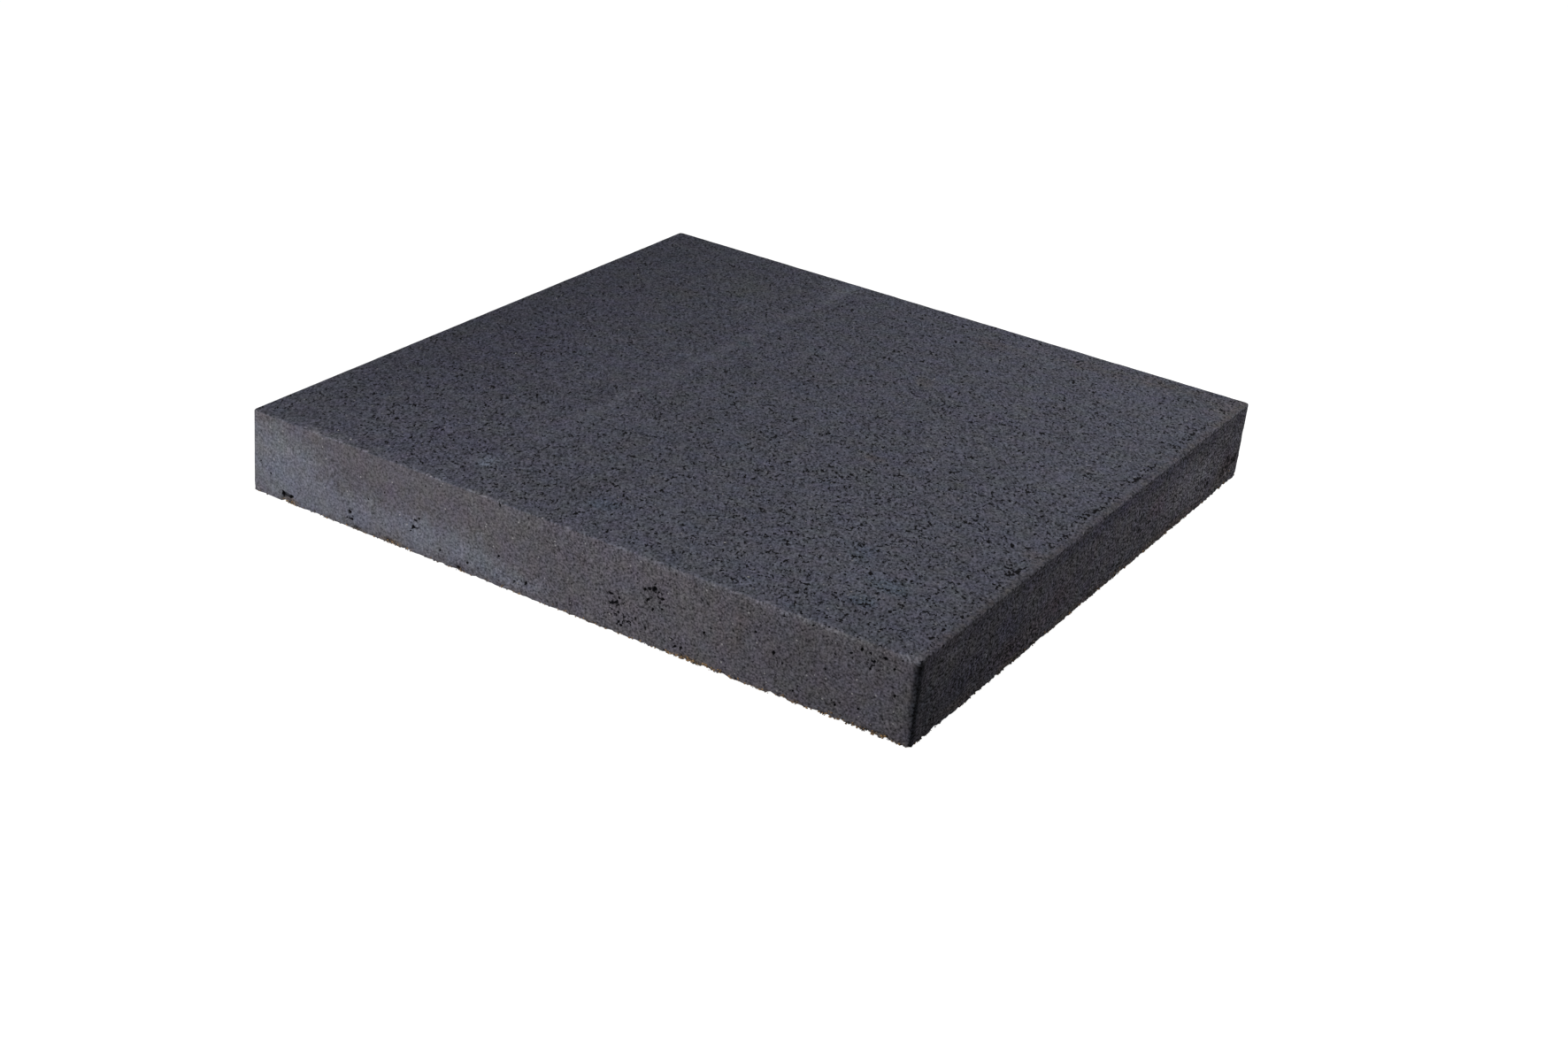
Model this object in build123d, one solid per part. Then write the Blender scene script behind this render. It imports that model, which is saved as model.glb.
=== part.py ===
from build123d import *
import os

# Square concrete paving slab, cast and pressed as one piece, in millimetres.
# It lies on its bed face: +Z is up, towards the walking face.
# The origin is the centre of the bed face.

# Plan size, from mould wall to mould wall
slab_length = 600.0
slab_width = 600.0
# Height from the bed face to the walking face
slab_thickness = 70.0

# Rounding of the four upright corners, left by the corners of the mould
corner_radius = 3.5
# Rounding of the arris around the walking face, left by the press head
walking_arris_radius = 2.0
# Slight softening of the edge around the bed face, where the slab left the pallet
bed_arris_radius = 1.0

# Name of the one piece
node_name = "paving_slab"


def mould_block():
    """The block that the mould shapes: the rounded plan, drawn up to the full thickness."""
    with BuildPart() as block:
        with BuildSketch(Plane.XY):
            RectangleRounded(slab_length, slab_width, corner_radius)
        extrude(amount=slab_thickness)
    return block.part


def soften_edges(block):
    """Round the arris around each of the two flat faces, right around the upright corners."""
    walking_face = block.faces().sort_by(Axis.Z)[-1]
    block = fillet(walking_face.edges(), walking_arris_radius)
    bed_face = block.faces().sort_by(Axis.Z)[0]
    return fillet(bed_face.edges(), bed_arris_radius)


def make_paving_slab():
    """The whole slab as one closed solid."""
    slab = soften_edges(mould_block())
    slab.label = node_name
    return slab


os.makedirs("parts", exist_ok=True)
export_step(make_paving_slab(), f"parts/{node_name}.step")
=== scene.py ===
import math

import bpy
import numpy as np
from bpy.props import FloatProperty, FloatVectorProperty, IntProperty, PointerProperty
from mathutils import Matrix, Vector


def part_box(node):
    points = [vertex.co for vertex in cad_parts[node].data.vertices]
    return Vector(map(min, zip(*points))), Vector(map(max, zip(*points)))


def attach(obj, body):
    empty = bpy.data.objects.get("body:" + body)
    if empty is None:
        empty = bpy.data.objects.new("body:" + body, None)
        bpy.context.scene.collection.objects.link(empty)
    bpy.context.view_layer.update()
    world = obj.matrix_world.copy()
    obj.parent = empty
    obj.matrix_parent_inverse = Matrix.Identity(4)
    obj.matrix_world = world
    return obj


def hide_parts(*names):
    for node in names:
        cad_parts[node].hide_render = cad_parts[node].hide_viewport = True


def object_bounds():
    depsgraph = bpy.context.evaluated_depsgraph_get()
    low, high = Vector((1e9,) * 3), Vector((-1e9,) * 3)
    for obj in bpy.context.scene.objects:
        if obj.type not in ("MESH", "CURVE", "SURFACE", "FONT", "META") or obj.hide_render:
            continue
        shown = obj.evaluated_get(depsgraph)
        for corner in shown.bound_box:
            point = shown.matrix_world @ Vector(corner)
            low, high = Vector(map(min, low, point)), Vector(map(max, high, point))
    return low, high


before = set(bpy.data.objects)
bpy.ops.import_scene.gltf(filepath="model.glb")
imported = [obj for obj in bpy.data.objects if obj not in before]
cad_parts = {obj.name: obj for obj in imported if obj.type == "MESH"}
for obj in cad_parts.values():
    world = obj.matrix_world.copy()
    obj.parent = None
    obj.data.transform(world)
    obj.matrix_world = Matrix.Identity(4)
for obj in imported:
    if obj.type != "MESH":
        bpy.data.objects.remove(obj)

bl_info = {
    "name": "Pressed concrete paving slab",
    "version": (1, 0, 0),
    "blender": (4, 5, 0),
    "location": "3D View > Sidebar > Paving slab",
    "description": "Dresses a pressed concrete slab with its pores, press rim, ragged bed edge and studio",
    "category": "Add Mesh",
}

NODE = "paving_slab"
BODY = "root"
MM = 0.001

# The slab's own box, in millimetres, the whole model's box, in metres, as model.glb gives them, and
# how far the loose grains stay inside it, in millimetres
HALF_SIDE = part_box(NODE)[1].x / MM
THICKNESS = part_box(NODE)[1].z / MM
CAD_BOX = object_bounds()
BOX_GAP = 0.03

# The four upright sides, in the order that the outline is walked, anticlockwise from above
FRONT, RIGHT, BACK, LEFT = range(4)

# What is painted on the surface's points, from 0 to 1 or a little more
MASKS = ("walked", "hollow_shade", "pale", "chalk_and_highlight", "brown", "rose", "olive", "teal", "violet", "shade",
         "porous", "rough")

# The press plate's long drag mark: its x where y is 0, its reach to each side, and its lean as x to y
DRAG_X, DRAG_REACH, DRAG_LEAN = -103, 7.4, 0.017

# The ridge that the press leaves along the arris: how far in from the outline it is, and its reach
RIM_INSET, RIM_REACH = 1.7, 1.1

# An edge sharper than this is shaded as an edge
SHARP_ANGLE = math.radians(40)

# The studio, in metres: where the lamps and the camera are, how wide the lamps are, what the camera looks
# at, and its turn about its line of sight. The lamps look at the middle of the slab's foot.
FRONT_LAMP, FRONT_LAMP_WIDTH = (-0.263, -1.021, 0.419), 0.78
BACK_LAMP, BACK_LAMP_WIDTH = (0.359, 0.253, 0.545), 0.92
CAMERA, CAMERA_AIM, CAMERA_ROLL = (0.8780, -1.5486, 0.8282), (0.1193, -0.1840, 0.07), math.radians(6.039)

# The width of the camera's sensor and half the floor's side, in millimetres
SENSOR_WIDTH = 36.0
FLOOR_REACH = 4000.0

# Marks on the walking face: x, y, reach in x, reach in y, strength. All lengths are in millimetres, and
# a strength below 0 takes away.
FACE_MARKS = {
    "olive": [
        (-206, 154, 30, 26, 0.6), (-165, 216, 30, 26, 0.95), (188, -32, 9, 7, 0.8), (68, -149, 8, 8, 0.5),
        (-102, 276, 18, 9, 0.6), (145, 262, 20, 8, 0.4), (20, 70, 30, 18, 0.35), (240, 120, 30, 24, 0.3),
        (95, -12, 16, 12, 0.5), (-250, -292, 50, 6, 0.4)],
    "teal": [
        (4, -249, 18, 13, 0.9), (190, -186, 15, 14, 0.8), (226, -252, 14, 11, 1.0),
        (237, -219, 14, 13, 0.9), (212, -220, 16, 14, 0.6), (73, -233, 16, 12, 0.5),
        (-107, -251, 8, 9, 0.7), (-96, 96, 6, 8, 0.9), (13, -88, 14, 12, 0.4), (93, -187, 10, 10, 0.5),
        (-103, -262, 9, 7, 0.5)],
    "brown": [
        (64, 137, 12, 12, 0.7), (68, 256, 22, 14, 0.55), (112, -35, 14, 10, 0.6), (285, -105, 10, 9, 0.5),
        (150, 272, 50, 12, 0.5), (225, 284, 60, 14, 0.55), (285, 262, 20, 40, 0.3)],
    "violet": [
        (-225, -80, 90, 210, 0.55), (-150, -236, 50, 36, 0.5), (-220, -282, 80, 14, 0.3),
        (-112, 60, 26, 200, 0.35), (-250, 120, 60, 60, 0.3)],
    "pale": [
        (-107, -251, 9, 10, 1.3), (-104, -236, 4, 7, 0.4), (-118, 42, 8, 12, 0.5),
        (-286, -223, 12, 22, 0.45), (-123, -135, 8, 10, 0.5), (202, -137, 4, 5, 0.6),
        (-225, -63, 6, 3, 0.7), (-225, 123, 4, 8, 0.6), (-100, 284, 45, 16, 0.35),
        (-101, 276, 13, 7, 0.6), (10, 292, 50, 14, 0.3)],
    "chalk_and_highlight": [
        (-287, 137, 10, 26, 0.3), (-282, 262, 12, 18, 0.4), (-232, -293, 34, 7, 0.45),
        (-165, -293, 22, 6, 0.35), (0, -294, 60, 5, 0.25), (278, 268, 12, 16, 0.25)],
    "shade": [
        (-107, -251, 9, 10, -0.5), (212, -215, 40, 34, -0.3), (170, -220, 80, 110, -0.3),
        (-60, 250, 220, 60, -0.1), (-250, -240, 50, 50, 0.2), (187, -33, 6, 5, 1.0),
        (140, -24, 2.6, 2.6, 1.3), (-300, -20, 60, 320, 0.4), (-122, -88, 10, 42, 0.45),
        (262, 272, 26, 34, 0.35), (284, 150, 14, 90, 0.3), (-245, -278, 26, 4, 0.3),
        (-250, -110, 60, 90, 0.12), (-40, -230, 40, 40, 0.15), (240, 180, 90, 90, 0.1)],
    "porous": [(-240, -290, 60, 10, -0.5), (0, -295, 900, 6, -0.3), (140, -110, 80, 130, 0.12)],
}

# Marks on the sides: distance along x or y, depth below the walking face, their reaches, strength
SIDE_MARKS = {
    FRONT: {
        # The pale and chalk marks 1.5 mm down are a painted highlight along the front arris, over the paler
        # paste of its rim
        "pale": [
            (-290, 38, 44, 42, 1.0), (-245, 54, 34, 20, 0.7), (-190, 54, 50, 16, 0.85),
            (-250, 26, 26, 16, 0.4), (-126, 52, 26, 17, 0.9), (-84, 50, 24, 18, 0.9),
            (-45, 60, 24, 10, 0.75), (-16, 58, 11, 8, 0.5), (0, 1.5, 60, 2.5, 0.3)],
        "chalk_and_highlight": [
            (-289, 24, 12, 22, 0.35), (-262, 44, 12, 10, 0.45), (-232, 28, 26, 14, 0.3),
            (-262, 24, 6, 5, 0.7), (-185, 46, 24, 10, 0.5), (-128, 46, 14, 10, 0.3),
            (-74, 38, 10, 8, 0.3), (292, 1.5, 9, 2.5, 1.6), (200, 1.5, 85, 2.8, 0.9),
            (80, 1.5, 50, 2.2, 0.5)],
        "brown": [
            (-261, 67.5, 9, 3.0, 2.3), (-190, 69, 8, 2.2, 1.3), (-157, 68, 13, 2.6, 1.7),
            (-90, 69, 6, 2, 0.9), (-40, 69, 10, 1.6, 0.8), (120, 68.5, 24, 2.6, 1.5),
            (30, 69, 34, 1.4, 0.8), (200, 69, 60, 1.8, 1.0), (270, 69, 30, 2.2, 1.1),
            (148, 30, 24, 24, 0.5), (90, 10, 40, 12, 0.3)],
        "violet": [(-150, 26, 60, 20, 0.4), (10, 40, 60, 20, 0.3), (240, 40, 60, 30, 0.4)],
        "rose": [
            (-195, 20, 40, 14, 0.45), (-110, 22, 40, 14, 0.35), (-80, 24, 26, 10, 0.3),
            (20, 26, 30, 22, 0.3), (-292, 66, 6, 3, 0.6)],
        "shade": [
            (83, 29, 8, 8, 0.5), (50, 41, 6, 7, 0.3), (200, 30, 44, 24, 0.45), (294, 40, 5, 40, 0.4),
            (-230, 8, 22, 3, 0.4), (-20, 24, 50, 16, 0.2)],
        "porous": [
            (83, 29, 11, 10, 1.5), (50, 42, 8, 10, 1.4), (58, 52, 8, 8, 0.9), (-199, 58, 7, 6, 1.2),
            (-180, 38, 5, 4, 0.8), (-134, 45, 5, 8, 1.3), (-56, 44, 5, 6, 0.9), (-34, 62, 10, 4, 1.3),
            (-111, 60, 5, 8, 0.9), (60, 60, 26, 9, 1.0), (128, 41, 8, 8, 0.8), (187, 36, 10, 9, 0.9),
            (265, 12, 20, 8, 1.3), (215, 4, 8, 4, 1.0), (-50, 3, 30, 3, 0.9), (28, 3, 18, 3, 0.9),
            (192, 4, 8, 4, 1.0), (235, 57, 50, 10, 0.7), (170, 22, 10, 6, 0.6), (108, 60, 20, 8, 0.7)],
        # Painted shade: the dark of the open pore clusters, and of the notches under the crumbled bed edge
        "hollow_shade": [
            (84, 25, 5, 3, 0.12), (51, 42, 4, 5, 0.12), (-265, 63.0, 7, 1.8, 0.5),
            (-192, 67, 5, 2.0, 0.35), (-160, 67, 7, 2.0, 0.35), (-92, 67, 5, 2.0, 0.4)],
    },
    RIGHT: {
        "brown": [
            (-145, 66, 24, 4, 1.3), (-40, 66, 70, 4, 0.9), (90, 66, 70, 4, 0.9), (60, 44, 20, 10, 0.3),
            (268, 55, 26, 14, 0.9), (-230, 64, 40, 5, 0.8), (180, 64, 60, 6, 0.7), (260, 20, 40, 12, 0.3)],
        "rose": [
            (-146, 56, 32, 12, 0.9), (-75, 46, 36, 14, 1.0), (109, 32, 18, 10, 1.1),
            (180, 40, 60, 22, 0.7), (272, 50, 26, 14, 1.0), (-158, 56, 22, 10, 0.4),
            (-15, 53, 12, 6, 0.5), (-250, 16, 14, 10, 0.4)],
        "violet": [
            (-152, 34, 18, 12, 1.2), (-235, 48, 26, 14, 0.7), (-75, 46, 30, 12, 0.4),
            (-200, 34, 50, 20, 0.4), (40, 8, 300, 7, 0.7), (-17, 53, 10, 6, 1.2), (20, 5, 24, 4, 0.5)],
        "teal": [(-284, 40, 18, 30, 0.3)],
        "olive": [(-287, 48, 12, 26, 0.5)],
        "chalk_and_highlight": [
            (-250, 16, 16, 10, 0.65), (185, 38, 60, 20, 1.0), (278, 58, 16, 6, 0.7),
            (-195, 41, 4, 2.4, 2.0), (285, 22, 12, 14, 0.3)],
        # The long mark 1.7 mm down is painted shade just under the right arris
        "shade": [
            (60, 44, 70, 30, -0.15), (-290, 34, 14, 36, 0.8), (-160, 57, 22, 8, 0.2),
            (276, 50, 16, 9, 0.4), (-276, 50, 18, 20, 0.5), (-235, 48, 26, 14, 0.9), (0, 8, 900, 5, 0.75),
            (20, 5, 22, 3, 0.6), (0, 69, 900, 2.5, 0.6), (-140, 60, 14, 6, 0.5), (0, 1.7, 900, 1.7, 0.7),
            (-150, 34, 18, 12, 0.35), (-75, 47, 30, 12, 0.35), (-15, 53, 12, 6, 0.3),
            (278, 46, 15, 5, 0.6)],
        "porous": [
            (-150, 56, 60, 9, 0.9), (-220, 36, 40, 14, 0.6), (75, 42, 14, 12, 1.1), (-20, 44, 20, 8, 0.8),
            (206, 46, 8, 5, 0.9), (226, 52, 14, 8, 0.9), (272, 50, 22, 12, 1.2), (20, 60, 60, 8, 0.6),
            (140, 58, 50, 9, 0.7), (0, 6, 900, 5, -0.5)],
        # Painted shade in the open pores of the honeycomb clusters and of a single pit
        "hollow_shade": [
            (269, 43.5, 7, 2.2, 0.45), (284, 49, 5, 3.0, 0.45), (262, 57, 4, 2.6, 0.4),
            (75, 41, 3, 2.5, 0.4), (90, 53, 3, 2.2, 0.35), (227, 53, 5, 2.5, 0.35),
            (206, 45, 5, 2.2, 0.3), (-187, 41, 4, 2.4, 0.4)],
    },
}

# Pits on the sides: distance along x or y, depth below the walking face, size, sink
SIDE_PITS = {
    FRONT: [
        (-269, 63.5, 2.5, 3.4), (-260, 64, 2.2, 3.1), (-199, 57, 2.0, 2.0), (-196, 61, 1.4, 1.4),
        (-203, 61, 1.0, 1.1), (-180, 38, 1.0, 1.1), (-131, 40, 1.3, 1.4), (-136, 46, 1.6, 1.5),
        (-139, 51, 1.0, 1.3), (-56, 44, 1.6, 1.4), (-28, 58, 1.9, 1.8), (-40, 60, 1.4, 1.4),
        (47, 38, 1.8, 1.7), (53, 44, 2.0, 2.0), (46, 47, 1.1, 1.3), (58, 61, 1.6, 1.7),
        (65, 56, 1.0, 1.1), (79, 33, 1.8, 1.7), (84, 24, 2.9, 2.9), (77, 26, 1.8, 1.7),
        (91, 28, 1.9, 1.8), (85, 38, 1.6, 1.5), (92, 36, 1.4, 1.4), (80, 56, 1.4, 1.4),
        (106, 61, 1.8, 1.7), (128, 41, 1.6, 1.5), (135, 36, 1.1, 1.3), (187, 36, 1.9, 1.8),
        (194, 41, 1.1, 1.3), (170, 25, 1.3, 1.3), (215, 4, 1.4, 1.4), (246, 13, 1.4, 1.4),
        (254, 9, 1.8, 1.7), (264, 14, 1.6, 1.5), (273, 9, 1.9, 1.8), (281, 13, 1.4, 1.4),
        (262, 21, 1.1, 1.3), (228, 33, 1.1, 1.3), (240, 58, 1.4, 1.5), (284, 33, 1.6, 1.7),
        (258, 55, 1.3, 1.4), (205, 60, 1.3, 1.3)],
    RIGHT: [
        (-232, 24, 1.4, 1.4), (-214, 38, 1.6, 1.5), (-166, 52, 2.0, 1.8), (-148, 58, 1.8, 1.7),
        (-128, 61, 1.9, 1.8), (-75, 50, 1.6, 1.5), (-24, 43, 1.8, 1.7), (75, 41, 2.5, 2.5),
        (84, 46, 1.4, 1.4), (90, 53, 2.0, 2.0), (120, 12, 1.8, 1.7), (207, 44, 1.9, 1.8),
        (226, 53, 2.2, 2.2), (258, 57, 1.9, 2.1), (268, 43, 1.9, 2.0), (278, 46, 1.8, 1.8),
        (287, 51, 1.9, 2.0)],
}

# Single white grains: x, y, size on the walking face; distance along x, depth, size on the front side
FACE_GRAINS = [
    (68, 147, 1.3), (74, 82, 1.1), (16, 42, 0.9), (-279, 76, 1.0), (-224, -63, 1.1), (104, -241, 1.2),
    (146, -275, 1.1), (177, -200, 1.2), (147, -3, 1.1), (244, 82, 1.0), (165, 130, 0.9), (273, 222, 1.1),
    (282, 262, 1.0), (-277, 66, 0.9), (-260, 95, 0.9), (-260, 170, 0.9), (-208, -290, 1.6),
    (-226, -284, 1.0)]
SIDE_GRAINS = [
    (139, 26, 1.1), (-62, 20, 0.8), (-12, 48, 0.9), (12, 60, 1.0), (268, 62, 1.2), (284, 46, 1.1),
    (226, 50, 0.9), (20, 16, 0.8), (176, 30, 0.8), (-252, 16, 0.9)]

# How readily the bed edge crumbles: distance along x or y, reach, strength
CRUMBLES = {
    FRONT: [(-264, 7, 1.3), (-150, 40, 0.2), (110, 50, 0.6), (190, 30, 0.9), (255, 50, 1.0)],
    RIGHT: [(-280, 30, 1.0), (-180, 60, 0.5), (0, 120, 0.3), (272, 30, 1.5)],
    BACK: [(-150, 90, 0.7), (170, 60, 0.9)],
    LEFT: [(-60, 80, 0.6), (210, 70, 0.8)],
}


# Random fields

def lattice_noise(points, size, seed):
    """Smooth random field between -1 and 1.

    Space is cut into cubes of the given size. Each cube corner gets a hashed value, and a point takes
    the eight corner values blended by 3t^2 - 2t^3 along each axis, where t is its place in the cube.
    """
    scaled = np.asarray(points, float) / size
    cell = np.floor(scaled).astype(np.int64)
    place = scaled - cell
    blend = place * place * (3.0 - 2.0 * place)
    total = np.zeros(scaled.shape[:-1])
    for corner in np.ndindex(2, 2, 2):
        at = (cell + corner).astype(np.uint64)
        mixed = at[..., 0] * np.uint64(73856093) ^ at[..., 1] * np.uint64(19349663)
        mixed ^= at[..., 2] * np.uint64(83492791) ^ np.uint64(seed * 2654435761)
        mixed = (mixed ^ (mixed >> np.uint64(15))) * np.uint64(2246822519) & np.uint64(0xFFFFFFFF)
        mixed = (mixed ^ (mixed >> np.uint64(13))) * np.uint64(3266489917) & np.uint64(0xFFFFFFFF)
        value = (mixed ^ (mixed >> np.uint64(16))).astype(float) / 0xFFFFFFFF * 2.0 - 1.0
        total += value * np.prod(np.where(corner, blend, 1.0 - blend), axis=-1)
    return total


def ease(value, low, high):
    """0 below low, 1 above high, and 3t^2 - 2t^3 between them."""
    t = np.clip((value - low) / (high - low), 0.0, 1.0)
    return t * t * (3.0 - 2.0 * t)


def spots(u, v, marks):
    """Sum of soft spots: strength * exp(-(du / reach_u)^2 - (dv / reach_v)^2) for each mark."""
    total = np.zeros(np.broadcast(u, v).shape)
    for at_u, at_v, reach_u, reach_v, strength in marks:
        total += strength * np.exp(-(((u - at_u) / reach_u) ** 2) - ((v - at_v) / reach_v) ** 2)
    return total


# The slab's surface: a walking face, a band carried down the outline, and a bed face

class Sheet:
    """A grid of surface points with unit normals, two directions along the surface, and painted masks."""

    def __init__(self, points, normal, first, second):
        self.points = points
        self.normal = normal + 0 * points
        self.first = first + 0 * points
        self.second = second + 0 * points
        self.masks = {name: np.zeros(points.shape[:2]) for name in MASKS}

    def sink(self, depth):
        """Move every point in, against its normal, by its own depth."""
        self.points = self.points - self.normal * depth[..., None]


def rounded_side(t, half_side, radius):
    """One side of a rounded square, as distances along the side and out from the centre.

    t runs from -1 to 1 between the middles of the side's two upright corners. The length |t| times
    (half_side - radius + radius * pi / 4) is walked from the middle of the side, first straight,
    then round an arc of the given radius.
    """
    radius = np.maximum(radius, 1e-4)
    straight = half_side - radius
    length = np.abs(t) * (straight + radius * math.pi / 4)
    angle = np.maximum(length - straight, 0.0) / radius
    along = np.minimum(length, straight) + radius * np.sin(angle)
    out = straight + radius * np.cos(angle)
    return np.sign(t) * along, out, np.sign(t) * angle


def turn_to_side(along, out, side):
    """x and y of a point that lies along and out on one of the four sides."""
    x = np.choose(side, [along, out, -along, -out])
    y = np.choose(side, [-out, along, out, -along])
    return x, y


def walking_face(cells, reach, radius):
    """Grid of points on the walking face, at its full height.

    A grid square with coordinates g and h from -1 to 1 lies on the square ring m = max(|g|, |h|). That
    ring has half side m * reach and a corner rounding of radius * m^8, and t = min / max of |g|, |h|
    is the place along the ring's side.
    """
    g, h = np.meshgrid(np.linspace(-1, 1, cells + 1), np.linspace(-1, 1, cells + 1), indexing="ij")
    ring = np.maximum(np.abs(g), np.abs(h))
    safe = np.where(ring > 0, ring, 1.0)
    across = np.abs(g) > np.abs(h)
    side = np.where(across, np.where(g > 0, RIGHT, LEFT), np.where(h > 0, BACK, FRONT))
    t = np.choose(side, [g, h, -g, -h]) / safe
    along, out, _ = rounded_side(t, ring * reach, radius * ring**8)
    x, y = turn_to_side(along, out, side)
    x_axis, y_axis, z_axis = np.eye(3)
    return Sheet(np.stack([x, y, np.full_like(x, THICKNESS)], -1), z_axis, x_axis, y_axis)


def edge_profile(shape):
    """Rows of the band: inset from the outline, height, and tilt of the surface above the level.

    It starts just inside the walking face's border, turns over the arris by a quarter circle, runs
    down the side with rows that are closer near both edges, turns in under the slab by a small
    quarter circle and ends a little way in on the bed face.
    """
    arris, bed = shape.arris_radius / MM, shape.bed_radius / MM
    margin, inset = shape.press_margin / MM, shape.bed_margin / MM
    turn = np.linspace(0, math.pi / 2, shape.arris_rows + 1)
    tuck = np.linspace(0, math.pi / 2, shape.bed_rows + 1)
    step = 1.0 - shape.row_bias * np.cos(2 * math.pi * (np.arange(shape.side_rows) + 0.5) / shape.side_rows)
    fall = np.cumsum(step)[:-1] / step.sum()
    crown = np.linspace(margin, arris, shape.crown_rows + 2)[1:-1]
    insets = [crown, arris * (1 - np.sin(turn)), 0 * fall, bed * (1 - np.cos(tuck)), [inset]]
    down = THICKNESS - arris - fall * (THICKNESS - arris - bed)
    heights = [0 * crown + THICKNESS, THICKNESS - arris * (1 - np.cos(turn)), down,
               bed * (1 - np.sin(tuck)), [0.0]]
    tilts = [0 * crown + math.pi / 2, math.pi / 2 - turn, 0 * fall, -tuck, [-math.pi / 2]]
    return np.concatenate(insets), np.concatenate(heights), np.concatenate(tilts)


def side_band(cells, shape):
    """The edge profile carried along the outline: places around it by rows of the profile."""
    inset, height, tilt = edge_profile(shape)
    place = np.arange(4 * cells)
    side = (place // cells)[:, None] + np.zeros(len(inset), int)
    t = (-1 + 2 * (place % cells) / cells)[:, None]
    along, out, angle = rounded_side(t, HALF_SIDE - inset, shape.corner_radius / MM - inset)
    x, y = turn_to_side(along, out, side)
    face_x, face_y = turn_to_side(np.sin(angle), np.cos(angle), side)
    level = 0 * x
    points = np.stack([x, y, height + level], -1)
    normal = np.stack([face_x * np.cos(tilt), face_y * np.cos(tilt), np.sin(tilt) + level], -1)
    around = np.stack([-face_y, face_x, level], -1)
    band = Sheet(points, normal, around, np.cross(around, normal))
    band.side, band.along, band.depth = side, along + level, THICKNESS - height + level
    band.inset = inset + level
    return band


def bed_face(cells, reach):
    """Coarse grid of points on the bed face: g * reach by h * reach, with g and h from -1 to 1."""
    g, h = np.meshgrid(np.linspace(-1, 1, cells + 1), np.linspace(-1, 1, cells + 1), indexing="ij")
    x_axis, y_axis, z_axis = np.eye(3)
    return Sheet(np.stack([g * reach, h * reach, 0 * g], -1), -z_axis, x_axis, y_axis)


def waves(points, depth):
    """Gentle waves in a face: three sizes of lattice noise, from 0 to depth."""
    wide, middle, fine = (lattice_noise(points, size, size) * 0.5 + 0.5 for size in (90, 24, 6))
    return depth * (0.5 * wide + 0.3 * middle + 0.2 * fine)


def press_rim(band):
    """How much of the rim's full height each band point has.

    The rim is a ridge along the arris, exp(-((inset - RIM_INSET) / RIM_REACH)^2), whose height wanders
    with lattice noise of 15 mm and 5 mm and falls to nothing in places. It is mostly worn away on the
    left half of the front, and a little worn on the other three sides.
    """
    ridge = np.exp(-(((band.inset - RIM_INSET) / RIM_REACH) ** 2)) * (band.depth < 5.0)
    wander = 0.62 + 0.5 * lattice_noise(band.points, 15, 4) + 0.4 * lattice_noise(band.points, 5, 5)
    worn = np.where(band.side == FRONT, 0.3 + 0.7 * ease(band.along, 40, 120), 0.7)
    return ridge * worn * np.clip(wander, 0.0, 1.0)


def crumbling(band, shape):
    """Depth and lift of the crumbled bed edge at each band point.

    Where 3.6 mm and 2.6 mm lattice noise together pass a level, the surface goes in by the excess
    times the side's readiness to crumble, and this fades out with the height above the bed. The
    lowest rows are also lifted by their own noise, times the same readiness.
    """
    ready = 0.3 + 0.15 * lattice_noise(band.points, 60, 8)
    for side, marks in CRUMBLES.items():
        for along, reach, strength in marks:
            ready = ready + (band.side == side) * strength * np.exp(-(((band.along - along) / reach) ** 2))
    height = THICKNESS - band.depth
    noise = lattice_noise(band.points, 3.6, 6) + 0.7 * lattice_noise(band.points, 2.6, 7)
    depth = shape.crumble_depth / MM
    fade = ease(10.0 - height, 0.0, 10.0) ** 1.5
    sink = np.clip(depth * ready * np.clip(noise + 0.15, 0, 1.2) * fade, 0, 1.5 * depth)
    foot = band.points * (1, 1, 0)
    ragged = np.clip(lattice_noise(foot, 2.9, 19) + 0.25 * lattice_noise(foot, 9.0, 20) + 0.2, 0, 1.3)
    lift = shape.crumble_lift / MM * np.clip(ready, 0.2, 1.2) * ragged * ease(7.0 - height, 0.0, 7.0)
    return sink, lift


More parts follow.
